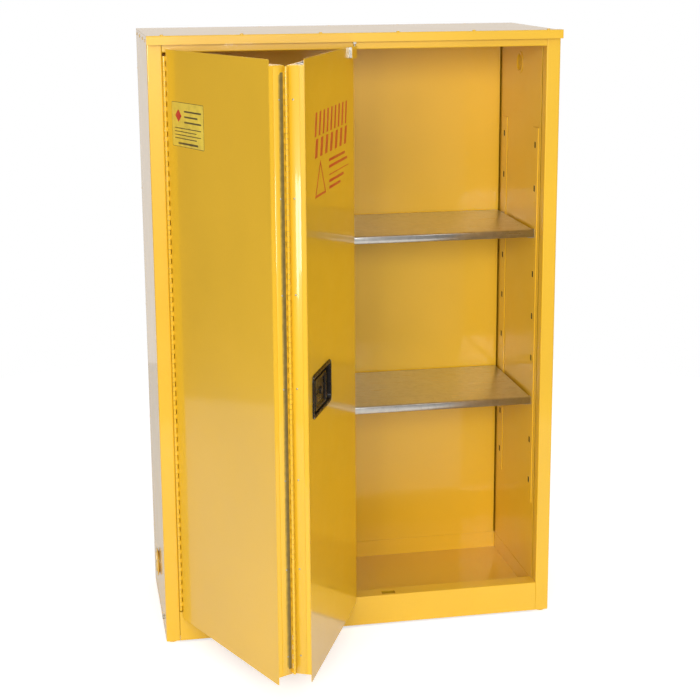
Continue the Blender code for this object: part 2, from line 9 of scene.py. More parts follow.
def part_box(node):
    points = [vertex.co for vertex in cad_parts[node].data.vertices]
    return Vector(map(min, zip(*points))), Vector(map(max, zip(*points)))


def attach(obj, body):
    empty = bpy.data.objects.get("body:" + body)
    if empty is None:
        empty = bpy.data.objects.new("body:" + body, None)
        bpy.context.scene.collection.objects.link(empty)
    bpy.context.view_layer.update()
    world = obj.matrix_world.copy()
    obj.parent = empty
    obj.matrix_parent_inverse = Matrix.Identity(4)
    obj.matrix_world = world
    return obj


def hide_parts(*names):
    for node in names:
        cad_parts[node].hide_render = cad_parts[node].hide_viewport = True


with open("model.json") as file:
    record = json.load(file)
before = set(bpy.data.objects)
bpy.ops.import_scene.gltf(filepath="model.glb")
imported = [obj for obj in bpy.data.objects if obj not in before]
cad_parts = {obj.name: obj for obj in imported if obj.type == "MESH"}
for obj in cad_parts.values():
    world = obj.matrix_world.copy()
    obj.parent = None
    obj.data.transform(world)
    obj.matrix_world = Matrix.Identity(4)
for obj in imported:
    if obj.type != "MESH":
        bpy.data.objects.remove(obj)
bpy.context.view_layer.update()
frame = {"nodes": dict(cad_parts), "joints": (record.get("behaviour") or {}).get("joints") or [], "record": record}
scene = bpy.context.scene

# ---- camera, light and floor --------------------------------------------------------
CAMERA_AT = (-0.782, -3.974, 1.852)
CAMERA_YAW, CAMERA_PITCH, CAMERA_ROLL = 0.1877, -0.2208, -0.0062
CAMERA_LENS = 79.6
CAMERA_SHIFT = (0.0, -0.0714)

# the room's light by direction: axis, where the glow starts and is full, its strength
WORLD_BASE = 0.13
WORLD_GLOWS = [("Y", 0.70, 0.95, 0.70), ("Y", 0.1, -0.8, 0.25), ("Z", 0.2, 0.9, 0.50),
               ("X", 0.1, 0.9, -0.09)]
FLOOR_RADIUS = 2.6
FLOOR_GLOW = (0.13, 0.55)     # as light on the cabinet, and as seen

# ---- the cabinet's own dimensions, in metres, with the doors closed --------------------
HALF_WIDTH = 0.546
DEPTH = 0.457
HINGE_PIN = (-0.504, -0.0055)       # the left hinge's axis: x, y
FOLD_PIN = (-0.0015, 0.040)         # the fold's axis
FOLD_GAP = 0.008                    # from the fold's axis to each leaf's edge
HINGE_ROLL = 0.0036                 # a knuckle's outer radius
HINGE_SPAN = (0.097, 1.600)
KNUCKLE_LONG = 0.0127
FOLD_RIVETS = (7, 0.145, 0.2298)    # how many, the lowest's height, spacing
LATCH_AT = (0.081, 0.019)           # the latch rods in the right leaf: x, y
SLOTS = (9, 0.377, 0.120)           # in a shelf standard: how many, lowest, spacing
CLIPPED_SLOTS = (2, 6)              # the slots that a shelf clip fills
RIVET = (0.0024, 0.0007)            # radius, height
PROUD = 0.0001                      # how far a fixing stands off its sheet
LEAF_FACE = -0.0018                 # y of a leaf's outer face
PRINT = (0.00002, 0.00018)          # a printed mark's underside and top
SIDES = (("left", -1), ("right", 1))
LEAF_TURN = {"door_hinge": radians(-66), "fold_hinge": radians(66)}


def make_camera():
    data = bpy.data.cameras.new("camera")
    data.lens = CAMERA_LENS
    data.sensor_width = 36
    data.shift_x, data.shift_y = CAMERA_SHIFT
    camera = bpy.data.objects.new("camera", data)
    camera.location = CAMERA_AT
    turn = Matrix.Rotation(-CAMERA_YAW, 4, "Z") @ Matrix.Rotation(pi / 2 + CAMERA_PITCH, 4, "X")
    camera.rotation_euler = (turn @ Matrix.Rotation(CAMERA_ROLL, 4, "Z")).to_euler()
    scene.collection.objects.link(camera)
    scene.camera = camera


def area_light(name, at, target, size, power, color=(1, 1, 1)):
    data = bpy.data.lights.new(name, "AREA")
    data.shape = "RECTANGLE"
    data.size, data.size_y = size
    data.energy = power
    data.color = color
    light = bpy.data.objects.new(name, data)
    light.visible_camera = False
    light.location = at
    light.rotation_euler = (Vector(target) - Vector(at)).to_track_quat("-Z", "Y").to_euler()
    scene.collection.objects.link(light)


def make_world():
    """White to the eye; as light, a bright backdrop behind, a soft front and dim sides."""
    world = bpy.data.worlds.new("studio")
    world.use_nodes = True
    tree = world.node_tree
    link = tree.links.new
    ray = tree.nodes.new("ShaderNodeTexCoord").outputs["Generated"]
    split = tree.nodes.new("ShaderNodeSeparateXYZ")
    link(ray, split.inputs["Vector"])
    level = None
    for axis, start, end, strength in WORLD_GLOWS:
        glow = tree.nodes.new("ShaderNodeMapRange")
        glow.interpolation_type = "SMOOTHSTEP"
        glow.inputs["From Min"].default_value = start
        glow.inputs["From Max"].default_value = end
        glow.inputs["To Max"].default_value = strength
        link(split.outputs[axis], glow.inputs["Value"])
        if level is None:
            level = glow.outputs["Result"]
            glow.inputs["To Min"].default_value = WORLD_BASE
            glow.inputs["To Max"].default_value = WORLD_BASE + strength
        else:
            total = tree.nodes.new("ShaderNodeMath")
            link(level, total.inputs[0])
            link(glow.outputs["Result"], total.inputs[1])
            level = total.outputs[0]
    seen = tree.nodes.new("ShaderNodeBackground")
    seen.inputs["Color"].default_value = (1, 1, 1, 1)
    lit = tree.nodes["Background"]
    lit.inputs["Color"].default_value = (1.0, 0.960, 0.930, 1)
    link(level, lit.inputs["Strength"])
    mix = tree.nodes.new("ShaderNodeMixShader")
    link(tree.nodes.new("ShaderNodeLightPath").outputs["Is Camera Ray"], mix.inputs["Fac"])
    link(lit.outputs[0], mix.inputs[1])
    link(seen.outputs[0], mix.inputs[2])
    link(mix.outputs[0], tree.nodes["World Output"].inputs["Surface"])
    scene.world = world


def make_studio():
    make_world()
    area_light("key_softbox", (-2.3, -4.4, 2.1), (0.0, -0.1, 0.9), (1.6, 2.0), 95)
    area_light("front_softbox", (-0.2, -5.2, 2.3), (0.0, 0.0, 1.1), (2.2, 1.6), 122)
    area_light("right_softbox", (3.4, -1.5, 2.6), (-0.1, -0.3, 1.0), (0.9, 1.4), 12)
    scene.view_settings.view_transform = "Standard"

    bm = bmesh.new()
    bmesh.ops.create_circle(bm, cap_ends=True, segments=96, radius=FLOOR_RADIUS)
    mesh = bpy.data.meshes.new("floor")
    bm.to_mesh(mesh)
    bm.free()
    floor = bpy.data.objects.new("floor", mesh)
    floor.location.y = FLOOR_RADIUS * 0.2
    paper = Shader("white_paper", (0.86, 0.86, 0.86), 0.9, Specular_IOR_Level=0.0,
                   Emission_Color=(1, 1, 1, 1))
    glow = paper.node("ShaderNodeMapRange")
    glow.inputs["To Min"].default_value, glow.inputs["To Max"].default_value = FLOOR_GLOW
    paper.link(paper.node("ShaderNodeLightPath").outputs["Is Camera Ray"], glow.inputs["Value"])
    paper.set("Emission Strength", glow.outputs["Result"])
    mesh.materials.append(paper.mat)
    scene.collection.objects.link(floor)


# ---- materials ----------------------------------------------------------------------
class Shader:
    """A Principled material with short ways to add its procedural detail."""

    def __init__(self, name, color, roughness, metallic=0.0, **sockets):
        self.mat = bpy.data.materials.new(name)
        self.mat.use_nodes = True
        self.tree = self.mat.node_tree
        self.bsdf = self.tree.nodes["Principled BSDF"]
        self.bsdf.inputs["Base Color"].default_value = (*color, 1.0)
        self.bsdf.inputs["Roughness"].default_value = roughness
        self.bsdf.inputs["Metallic"].default_value = metallic
        for socket, value in sockets.items():
            self.bsdf.inputs[socket.replace("_", " ")].default_value = value
        self.coords = self.node("ShaderNodeTexCoord").outputs["Object"]

    def node(self, kind, **values):
        made = self.tree.nodes.new(kind)
        for key, value in values.items():
            if hasattr(made, key):
                setattr(made, key, value)
            else:
                made.inputs[key].default_value = value
        return made

    def link(self, a, b):
        self.tree.links.new(a, b)

    def noise(self, scale, detail=3.0, stretch=None):
        made = self.node("ShaderNodeTexNoise", Scale=scale, Detail=detail)
        coords = self.coords
        if stretch:
            mapping = self.node("ShaderNodeMapping", Scale=stretch)
            self.link(coords, mapping.inputs["Vector"])
            coords = mapping.outputs["Vector"]
        self.link(coords, made.inputs["Vector"])
        return made.outputs["Fac"]

    def cells(self, scale):
        made = self.node("ShaderNodeTexVoronoi", Scale=scale)
        self.link(self.coords, made.inputs["Vector"])
        return made.outputs["Color"]

    def ramp(self, fac, stops):
        """Colours or grey levels by position; stops are (position, value)."""
        made = self.node("ShaderNodeValToRGB")
        ramp = made.color_ramp
        while len(ramp.elements) < len(stops):
            ramp.elements.new(0.5)
        for element, (position, value) in zip(ramp.elements, stops):
            element.position = position
            element.color = (*value, 1.0) if hasattr(value, "__len__") else (value,) * 3 + (1.0,)
        self.link(fac, made.inputs["Fac"])
        return made.outputs["Color"]

    def bump(self, height, distance, strength=1.0, after=None):
        made = self.node("ShaderNodeBump", Distance=distance, Strength=strength)
        self.link(height, made.inputs["Height"])
        if after:
            self.link(after, made.inputs["Normal"])
        return made.outputs["Normal"]

    def times(self, a, b):
        made = self.node("ShaderNodeMix", data_type="RGBA", blend_type="MULTIPLY")
        made.inputs[0].default_value = 1.0
        self.link(a, made.inputs[6])
        self.link(b, made.inputs[7])
        return made.outputs[2]

    def set(self, socket, value):
        self.link(value, self.bsdf.inputs[socket])


def powder_coat(name, color, roughness=0.34):
    """Glossy powder coat: orange peel, a slow wave in the sheet, a slight drift of tone."""
    s = Shader(name, color, roughness, Coat_Weight=0.8, Coat_Roughness=0.07, Coat_IOR=1.5)
    light = tuple(min(1.0, c * 1.03) for c in color)
    dark = tuple(c * 0.965 for c in color)
    tone = s.ramp(s.noise(2.2, 4.0), [(0.35, dark), (0.65, light)])
    fleck = s.ramp(s.noise(900.0, 2.0), [(0.30, (0.94, 0.93, 0.90)), (0.45, (1.0, 1.0, 1.0))])
    s.set("Base Color", s.times(tone, fleck))
    s.set("Roughness", s.ramp(s.noise(9.0, 3.0), [(0.3, roughness * 0.9),
                                                  (0.7, roughness * 1.12)]))
    wave = s.bump(s.noise(5.0, 1.0), 0.0035, 0.14)
    peel = s.bump(s.noise(300.0, 2.0), 0.00008, 0.45, wave)
    s.set("Normal", peel)
    s.set("Coat Normal", s.bump(s.noise(260.0, 1.5), 0.00007, 0.5, wave))
    return s.mat


def make_materials():
    mats = {"yellow": powder_coat("yellow_powder_coat", (0.80, 0.472, 0.018))}

    s = Shader("galvanised_sheet", (0.50, 0.50, 0.47), 0.26, 0.95)
    rolled = s.noise(1.0, 4.0, (5.0, 750.0, 750.0))
    grey = s.ramp(rolled, [(0.30, (0.66, 0.65, 0.61)), (0.70, (0.73, 0.72, 0.68))])
    spangle = s.ramp(s.cells(85.0), [(0.0, (0.86, 0.86, 0.86)), (1.0, (1.0, 1.0, 1.0))])
    s.set("Base Color", s.times(grey, spangle))
    s.set("Roughness", s.ramp(s.noise(1.0, 4.0, (8.0, 500.0, 500.0)), [(0.3, 0.27), (0.7, 0.35)]))
    s.set("Normal", s.bump(rolled, 0.000003, 0.2, s.bump(s.noise(6.0), 0.0004, 0.06)))
    mats["galvanised"] = s.mat

    s = Shader("zinc_plate", (0.60, 0.59, 0.55), 0.36, 0.95)
    s.set("Base Color", s.ramp(s.noise(90.0, 4.0), [(0.3, (0.36, 0.35, 0.31)),
                                                    (0.7, (0.50, 0.49, 0.45))]))
    s.set("Roughness", s.ramp(s.noise(160.0), [(0.3, 0.28), (0.7, 0.46)]))
    s.set("Normal", s.bump(s.noise(700.0), 0.00003, 0.4))
    mats["zinc"] = s.mat

    s = Shader("black_plastic", (0.010, 0.0075, 0.006), 0.30, Specular_IOR_Level=0.28)
    s.set("Normal", s.bump(s.noise(1500.0), 0.00004, 0.6))
    s.set("Roughness", s.ramp(s.noise(60.0), [(0.3, 0.22), (0.7, 0.36)]))
    mats["black"] = s.mat

    # painted shadow for the crease beside the fold: three dark tones, deep to light, with a random mottle
    for shade, color in (("deep", (0.20, 0.145, 0.035)), ("middle", (0.38, 0.255, 0.035)),
                         ("light", (0.58, 0.36, 0.030))):
        s = Shader(f"painted_shadow_{shade}", color, 0.55, Coat_Weight=0.2, Coat_Roughness=0.3)
        # the darker tone of the painted shadow's random mottle
        patchy = tuple(c * 0.75 for c in color)
        s.set("Base Color", s.ramp(s.noise(70.0, 4.0), [(0.35, patchy), (0.65, color)]))
        s.set("Normal", s.bump(s.noise(400.0, 2.0), 0.00006, 0.5))
        mats[f"crease_{shade}"] = s.mat

    # painted shade: the dark inside of a slot, on thin plates at the standards' faces
    s = Shader("slot_shadow", (0.030, 0.018, 0.008), 0.8)
    s.set("Base Color", s.ramp(s.noise(300.0), [(0.3, (0.020, 0.012, 0.006)),
                                                (0.7, (0.045, 0.028, 0.010))]))
    mats["shadow"] = s.mat

    s = Shader("white_nylon", (0.78, 0.76, 0.70), 0.45)
    s.set("Roughness", s.ramp(s.noise(300.0), [(0.3, 0.40), (0.7, 0.52)]))
    mats["nylon"] = s.mat

    for name, color in (("red_print", (0.62, 0.035, 0.025)), ("black_print", (0.12, 0.085, 0.03)),
                        ("pale_print", (0.84, 0.62, 0.075))):
        s = Shader(name, color, 0.34, Coat_Weight=0.3, Coat_Roughness=0.15)
        faded = tuple(c * 0.86 for c in color)
        s.set("Base Color", s.ramp(s.noise(55.0, 4.0), [(0.35, faded), (0.6, color)]))
        s.set("Normal", s.bump(s.noise(500.0, 2.0), 0.00005, 0.4))
        mats[name] = s.mat
    return mats


SLOT_MATERIALS = {"yellow_paint": "yellow", "zinc_plate": "zinc",
                  "galvanised_steel": "galvanised", "black_plastic": "black",
                  "white_nylon": "nylon"}


def dress_cad(mats):
    """Every CAD node gets its slot's material. Its edges stay sharp."""
    for part in frame["record"]["subparts"]:
        obj = frame["nodes"][part["node"]]
        obj.data.materials.clear()
        obj.data.materials.append(mats[SLOT_MATERIALS[part["material_slot"]]])


# ---- places -------------------------------------------------------------------------
def joint(name):
    return next(j for j in frame["joints"] if j["name"] == name)


def turned(joint_name, pin):
    """From a leaf's closed, cabinet-front coordinates to where it stands at rest."""
    at = joint(joint_name)["pos_m"]
    spin = Matrix.Rotation(LEAF_TURN[joint_name], 4, "Z")
    return Matrix.Translation((at[0], at[1], 0)) @ spin @ Matrix.Translation((-pin[0], -pin[1], 0))


def facing(way, at):
    """Local Z points out along way, local Y is up (or back, on a level face)."""
    out = Vector(way)
    up = Vector((0, 1, 0)) if abs(out.z) > 0.5 else Vector((0, 0, 1))
    side = up.cross(out)
    turn = Matrix((side, up, out)).transposed().to_4x4()
    return Matrix.Translation(at) @ turn


def middle(node):
    """The middle of a node's bounding box."""
    low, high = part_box(node)
    return [(a + b) / 2 for a, b in zip(low, high)]


def standards():
    """Each shelf standard's side, with the x and y of its face's middle."""
    for side, sign in SIDES:
        for row in ("front", "rear"):
            node = f"shelf_standard_{row}_{side}"
            low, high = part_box(node)
            yield sign, sign * min(abs(low[0]), abs(high[0])), middle(node)[1]


# ---- mesh helpers -------------------------------------------------------------------
def loft(bm, loops, at=None, close=False, caps=True):
    """Skin over loops of the same number of points; close joins the last to the first."""
    at = at or Matrix.Identity(4)
    rings = [[bm.verts.new(at @ Vector(co)) for co in loop] for loop in loops]
    count = len(rings[0])
    pairs = list(zip(rings, rings[1:] + rings[:1] if close else rings[1:]))
    for low, high in pairs:
        for i in range(count):
            j = (i + 1) % count
            bm.faces.new((low[i], low[j], high[j], high[i]))
    if caps and not close:
        bm.faces.new(list(reversed(rings[0])))
        bm.faces.new(rings[-1])


def lathe(bm, profile, at, steps=24, close=False, lobes=None):
    """Turn (radius, height) points about local Z. lobes is a grip's count, depth, inner radius."""
    loops = []
    for radius, height in profile:
        loop = []
        for i in range(steps):
            angle = 2 * pi * i / steps
            r = radius
            if lobes and radius > lobes[2]:
                r -= lobes[1] * (0.5 - 0.5 * cos(lobes[0] * angle))
            loop.append((r * cos(angle), r * sin(angle), height))
        loops.append(loop)
    loft(bm, loops, at, close)


def rounded(x0, x1, y0, y1, r, z=0.0, steps=4):
    """Outline of a rectangle with round corners."""
    r = max(0.00002, min(r, (x1 - x0) / 2 - 1e-5, (y1 - y0) / 2 - 1e-5))
    points = []
    for cx, cy, start in ((x1 - r, y1 - r, 0), (x0 + r, y1 - r, 1), (x0 + r, y0 + r, 2),
                          (x1 - r, y0 + r, 3)):
        for i in range(steps + 1):
            angle = (start + i / steps) * pi / 2
            points.append((cx + r * cos(angle), cy + r * sin(angle), z))
    return points


def pressed(bm, rect, r, levels, at=None, close=False, steps=4):
    """Loft of round-cornered rectangles; levels are (inset, height)."""
    x0, x1, y0, y1 = rect
    loft(bm, [rounded(x0 + d, x1 - d, y0 + d, y1 - d, r - d * 0.6, z, steps)
              for d, z in levels], at, close)


def drawn(bm, outline, z0, z1, at=None):
    """An outline in X and Y, drawn out along Z."""
    loft(bm, [[(x, y, z0) for x, y in outline], [(x, y, z1) for x, y in outline]], at)


def dome(bm, at, radius, height, steps=14):
    """A low round head, as of a rivet or a weld."""
    profile = [(radius, -0.0002), (radius, 0.0)]
    profile += [(radius * cos(t), height * sin(t)) for t in (0.3, 0.65, 1.0, 1.3)]
    lathe(bm, profile, at, steps)


def piece(name, bm, mat, body, place=None, replaces=(), smooth=35):
    """Turns a bmesh into a named piece that rides on a body."""
    if place is not None:
        bmesh.ops.transform(bm, matrix=place, verts=bm.verts)
    bmesh.ops.recalc_face_normals(bm, faces=bm.faces)
    mesh = bpy.data.meshes.new(name)
    bm.to_mesh(mesh)
    bm.free()
    for face in mesh.polygons:
        face.use_smooth = True
    mesh.set_sharp_from_angle(angle=radians(smooth))
    mesh.materials.append(materials[mat])
    obj = bpy.data.objects.new(name, mesh)
    scene.collection.objects.link(obj)
    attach(obj, body)
    if replaces:
        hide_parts(*replaces)
    return obj


# ---- hinges -------------------------------------------------------------------------
def piano_hinge_leaf(name, pin, side, plate, reach, own, body, place):
    """A leaf of a piano hinge: its plate, and every second knuckle rolled round the pin."""
    bm = bmesh.new()
    outer, inner = HINGE_ROLL, HINGE_ROLL - 0.0010
    back = 1 if reach > 0 else -1
    near = back * 0.004
    sweep = 1.72 * pi if reach > 0 else 1.94 * pi
    xs = sorted((pin[0] + side * plate[0], pin[0] + side * plate[1]))
    ys = sorted((pin[1] + near, pin[1] + reach))
    bottom, top = HINGE_SPAN
    pressed(bm, (xs[0], xs[1], bottom, top), 0.0002, [(0.0001, -ys[1]), (0, -ys[1] + 0.0001),
            (0, -ys[0] - 0.0001), (0.0001, -ys[0])], facing((0, -1, 0), (0, 0, 0)), steps=1)

    def at(x, y):
        return (pin[0] + side * x, pin[1] + y)

    ring = []
    for radius, turn in ((outer, range(15)), (inner, range(14, -1, -1))):
        for i in turn:
            angle = sweep * i / 14
            ring.append(at(radius * cos(angle), -back * radius * sin(angle)))
    if plate[1] > HINGE_ROLL + 0.002:
        foot = [at(plate[1], near * 1.2), at(plate[1], -back * 0.0006)]
        tail = [at(inner, back * 0.0006), at(plate[0], back * 0.0010), at(plate[0], near * 1.2)]
    else:
        foot = [at(outer, near * 1.2)]
        tail = [at(inner, near * 0.2), at(plate[0], near * 0.55), at(plate[0], near * 1.2)]
    outline = foot + ring + tail
    count = int((top - bottom) / KNUCKLE_LONG)
    step = (top - bottom) / count
    for i in range(own, count, 2):
        z0, z1 = bottom + i * step + 0.0004, bottom + (i + 1) * step - 0.0004
        drawn(bm, outline, z0, z1)
    return piece(name + "_rolled", bm, "yellow", body, place, (name,),
                 smooth=50)


def painted_crease_shadow():
    """Painted shadow in the crease beside the fold's knuckles: three strips, darkest nearest the knuckles, for the
    soft shade there.
    """
    for shade, near, far in (("deep", 0.0045, 0.0125), ("middle", 0.0125, 0.0150),
                             ("light", 0.0150, 0.0172)):
        bm = bmesh.new()
        end = 0.012 + 0.5 * near
        face = facing((1, 0, 0), (FOLD_PIN[0] - FOLD_GAP + 0.0013, FOLD_PIN[1], 0))
        pressed(bm, (-far, -near, HINGE_SPAN[0] + end, HINGE_SPAN[1] - end), 0.0012,
                [(0.0, 0.00003), (0.0, 0.00008), (0.0001, 0.0001)], face, steps=2)
        piece(f"crease_shadow_strip_{shade}", bm, f"crease_{shade}", "door_left", LEFT)


def hinges():
    """The piano hinges at the stile and at the fold, and the rivets of the fold's."""
    stile = (0.0027, 0.0037)
    fold = (FOLD_GAP - 0.0013, FOLD_GAP - 0.0003)
    left, right = HINGE_PIN, FOLD_PIN
    piano_hinge_leaf("frame_hinge_leaf", left, -1, stile, 0.030, 0, "cabinet", CABINET)
    piano_hinge_leaf("door_hinge_leaf", left, 1, stile, 0.030, 1, "door_left", LEFT)
    piano_hinge_leaf("fold_leaf_left", right, -1, fold, -0.030, 0, "door_left", LEFT)
    piano_hinge_leaf("fold_leaf_right", right, 1, fold, -0.030, 1, "door_right", RIGHT)
    count, lowest, spacing = FOLD_RIVETS
    for side, way, place in (("left", 1, LEFT), ("right", -1, RIGHT)):
        bm = bmesh.new()
        for i in range(count):
            at = (FOLD_PIN[0] - way * fold[0], FOLD_PIN[1] - 0.0145, lowest + i * spacing)
            dome(bm, facing((way, 0, 0), at), 0.0024, 0.0010)
        piece(f"fold_rivets_{side}", bm, "zinc", f"door_{side}", place)


# ---- fixings ------------------------------------------------------------------------
def pan_head(bm, at, radius=0.0046, height=0.0026):
    """A cross-recess pan head screw."""
    lathe(bm, [(radius, 0.0), (radius * 0.99, height * 0.45), (radius * 0.86, height * 0.82),
               (radius * 0.6, height), (radius * 0.52, height), (radius * 0.5, height * 0.9)],
          at, 20)
    for turn in (0, pi / 2):
        arm = at @ Matrix.Translation((0, 0, height * 0.9)) @ Matrix.Rotation(turn, 4, "Z")
        pressed(bm, (-radius * 0.5, radius * 0.5, -0.0005, 0.0005), 0.0002,
                [(0, -0.0001), (0, 0.0001), (0.0002, 0.00012)], arm, steps=1)


def track_screws():
    bm = bmesh.new()
    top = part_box("door_track")[1][2]
    for i in range(6):
        pan_head(bm, facing((0, 0, 1), (-0.508 + 0.2032 * i, -0.010, top)))
    piece("track_screws", bm, "yellow", "cabinet", CABINET)


def shell_rivets():
    """Low plug welds and rivets where the sheets of the body meet."""
    bm = bmesh.new()
    for sign in (-1, 1):
        x = sign * (HALF_WIDTH + PROUD)
        way = (sign, 0, 0)
        for y in (0.050, 0.165, 0.290, 0.410):
            lathe(bm, [(0.0042, -0.0002), (0.0042, 0.0004), (0.0036, 0.0009), (0.0022, 0.0011),
                       (0.0017, 0.0010), (0.0015, 0.0003)], facing(way, (x, y, 1.636)), 16)
            dome(bm, facing(way, (x, y, 0.020)), *RIVET)
        for z in (0.180, 0.520, 0.860, 1.200, 1.540):
            dome(bm, facing(way, (x, DEPTH - 0.010, z)), *RIVET)
    for z in (0.060, 0.420, 0.780, 1.140, 1.500):
        for x in (-0.530, 0.530):
            dome(bm, facing((0, 1, 0), (x, DEPTH + PROUD, z)), *RIVET)
    for x in (-0.40, -0.20, 0.0, 0.20, 0.40):
        for z in (0.025, 1.630):
            dome(bm, facing((0, 1, 0), (x, DEPTH + PROUD, z)), *RIVET)
        dome(bm, facing((0, 0, 1), (x, 0.440, 1.6492)), *RIVET)
    piece("shell_rivets", bm, "yellow", "cabinet", CABINET)


def ground_stud():
    bm = bmesh.new()
    _, y, z = middle("ground_screw")
    face = facing((-1, 0, 0), (-HALF_WIDTH, y, z))
    lathe(bm, [(0.0074, 0.0001), (0.0074, 0.0008), (0.0070, 0.0011), (0.0031, 0.0011)], face, 24)
    loops = []
    for r, h in ((0.0056, 0.0012), (0.0058, 0.0016), (0.0058, 0.0036), (0.0053, 0.0042),
                 (0.0034, 0.0042), (0.0031, 0.0040)):
        loops.append([(r * cos(pi / 3 * i), r * sin(pi / 3 * i), h) for i in range(6)])
    loft(bm, loops, face)
    piece("ground_stud", bm, "zinc", "cabinet", None, ("ground_screw",))


# ---- vents --------------------------------------------------------------------------
def vent_caps():
    """Screwed bungs: a scalloped ring, a dished middle and a cross to turn it by."""
    for side, sign in SIDES:
        name = f"vent_cap_{side}"
        low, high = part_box(name)
        _, y, z = middle(name)
        thick = 0.006
        seat = sign * max(abs(low[0]), abs(high[0])) - sign * thick
        face = facing((sign, 0, 0), (seat, y, z))
        bm = bmesh.new()
        lathe(bm, [(0.0243, -0.0116), (0.0245, -0.0110), (0.0245, 0.0), (0.0385, 0.0),
                   (0.0400, 0.0008), (0.0400, 0.0024), (0.0388, 0.0036), (0.0350, 0.0042),
                   (0.0310, 0.0044), (0.0295, 0.0038), (0.0286, 0.0020), (0.0270, 0.0014),
                   (0.0130, 0.0014), (0.0120, 0.0022), (0.0105, 0.0026), (0.003, 0.0026)],
              face, 96, lobes=(24, 0.0012, 0.0384))
        for turn in (0.35, 0.35 + pi / 2):
            arm = face @ Matrix.Rotation(turn, 4, "Z")
            pressed(bm, (-0.0275, 0.0275, -0.0046, 0.0046), 0.0030,
                    [(0.0, 0.0012), (0.0002, 0.0046), (0.0012, 0.0057), (0.0022, 0.0060)], arm)
        piece(name + "_bung", bm, "yellow", name, None, (name,))


def flame_arresters():
    """A screen in each vent: crossed wires in front of a disc, in a rim."""
    for side, sign in SIDES:
        name = f"flame_arrester_{side}"
        low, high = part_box(name)
        _, y, z = middle(name)
        inner = sign * min(abs(low[0]), abs(high[0]))
        face = facing((-sign, 0, 0), (inner, y, z))
        bm = bmesh.new()
        lathe(bm, [(0.0249, -0.0098), (0.0249, -0.0004), (0.0245, 0.0), (0.0226, 0.0),
                   (0.0222, -0.0004), (0.0222, -0.0098)], face, 40, close=True)
        lathe(bm, [(0.0222, -0.0098), (0.0222, -0.0070), (0.001, -0.0068)], face, 40)
        for turn in (0, pi / 2):
            spin = face @ Matrix.Rotation(turn, 4, "Z")
            for i in range(-9, 10):
                reach = (0.0221 ** 2 - (i * 0.0023) ** 2) ** 0.5
                pressed(bm, (i * 0.0023 - 0.0003, i * 0.0023 + 0.0003, -reach, reach), 0.0001,
                        [(0, -0.0035 + turn * 0.0003), (0, -0.0030 + turn * 0.0003),
                         (0.0001, -0.0029 + turn * 0.0003)], spin, steps=1)
        piece(name + "_screen", bm, "yellow", "cabinet", None, (name,))


# ---- handle -------------------------------------------------------------------------
def handle():
    """Recessed paddle handle: moulded cup and rim, dished paddle, key plug with its slot."""
    cup = (0.0435, 0.2275, 0.744, 0.856)
    rim, skin = 0.0048, 0.0021
    front = facing((0, -1, 0), (0, 0, 0))
    bm = bmesh.new()
    pressed(bm, cup, 0.017, [(0.0085, -0.0200), (0.0066, -0.0188), (0.0061, -0.0170),
                             (0.0061, skin), (0.0, skin), (0.0, skin + 0.0009),
                             (0.0005, rim - 0.0006), (0.0015, rim), (0.0086, rim),
                             (0.0096, rim - 0.0005), (0.0101, rim - 0.0016),
                             (0.0106, -0.0145), (0.0125, -0.0168), (0.0160, -0.0175)],
            front, steps=6)
    piece("cup_moulding", bm, "black", "door_right", RIGHT, ("handle_cup",))

    bm = bmesh.new()
    pressed(bm, (0.0655, 0.1700, 0.7600, 0.8400), 0.0040,
            [(0.0020, -0.0010), (0.0004, -0.0006), (0.0, 0.0002), (0.0, 0.0028),
             (0.0005, 0.0037), (0.0013, 0.0040), (0.0075, 0.0040), (0.0086, 0.0036),
             (0.0096, 0.0026), (0.0110, 0.0022)], front)
    lathe(bm, [(0.0024, -0.0396), (0.0054, -0.0396), (0.0058, -0.0390), (0.0058, 0.0390),
               (0.0054, 0.0396), (0.0024, 0.0396)],
          Matrix.Translation((0.061, 0.003, 0.800)), 24, close=True)
    pressed(bm, (0.1560, 0.1690, 0.7640, 0.8360), 0.0045,
            [(0.0, 0.0030), (0.0003, 0.0046), (0.0020, 0.0058), (0.0045, 0.0062)], front)
    pressed(bm, (0.0800, 0.1500, 0.7990, 0.8010), 0.0008,
            [(0.0, 0.0020), (0.0001, 0.0029), (0.0004, 0.0031)], front, steps=2)
    piece("paddle_lever", bm, "black", "paddle", RIGHT, ("paddle",))

    bm = bmesh.new()
    plug = front @ Matrix.Translation((0.1255, 0.800, 0.0023))
    lathe(bm, [(0.0092, 0.0), (0.0092, 0.0022), (0.0086, 0.0028), (0.0074, 0.0028),
               (0.0071, 0.0024), (0.0068, 0.0026), (0.0040, 0.0027)], plug, 32)
    piece("key_plug", bm, "black", "lock_plug", RIGHT, ("lock_plug",))
    bm = bmesh.new()
    pressed(bm, (-0.0008, 0.0008, -0.0042, 0.0042), 0.0004,
            [(0, 0.00260), (0, 0.00276), (0.0001, 0.0028)], plug, steps=2)
    piece("key_slit", bm, "zinc", "lock_plug", RIGHT)

    bm = bmesh.new()
    for x, z in ((0.0495, 0.750), (0.0495, 0.850), (0.2215, 0.750), (0.2215, 0.850)):
        dome(bm, front @ Matrix.Translation((x, z, rim)), 0.0021, 0.0009)
    piece("handle_rivets", bm, "zinc", "door_right", RIGHT)


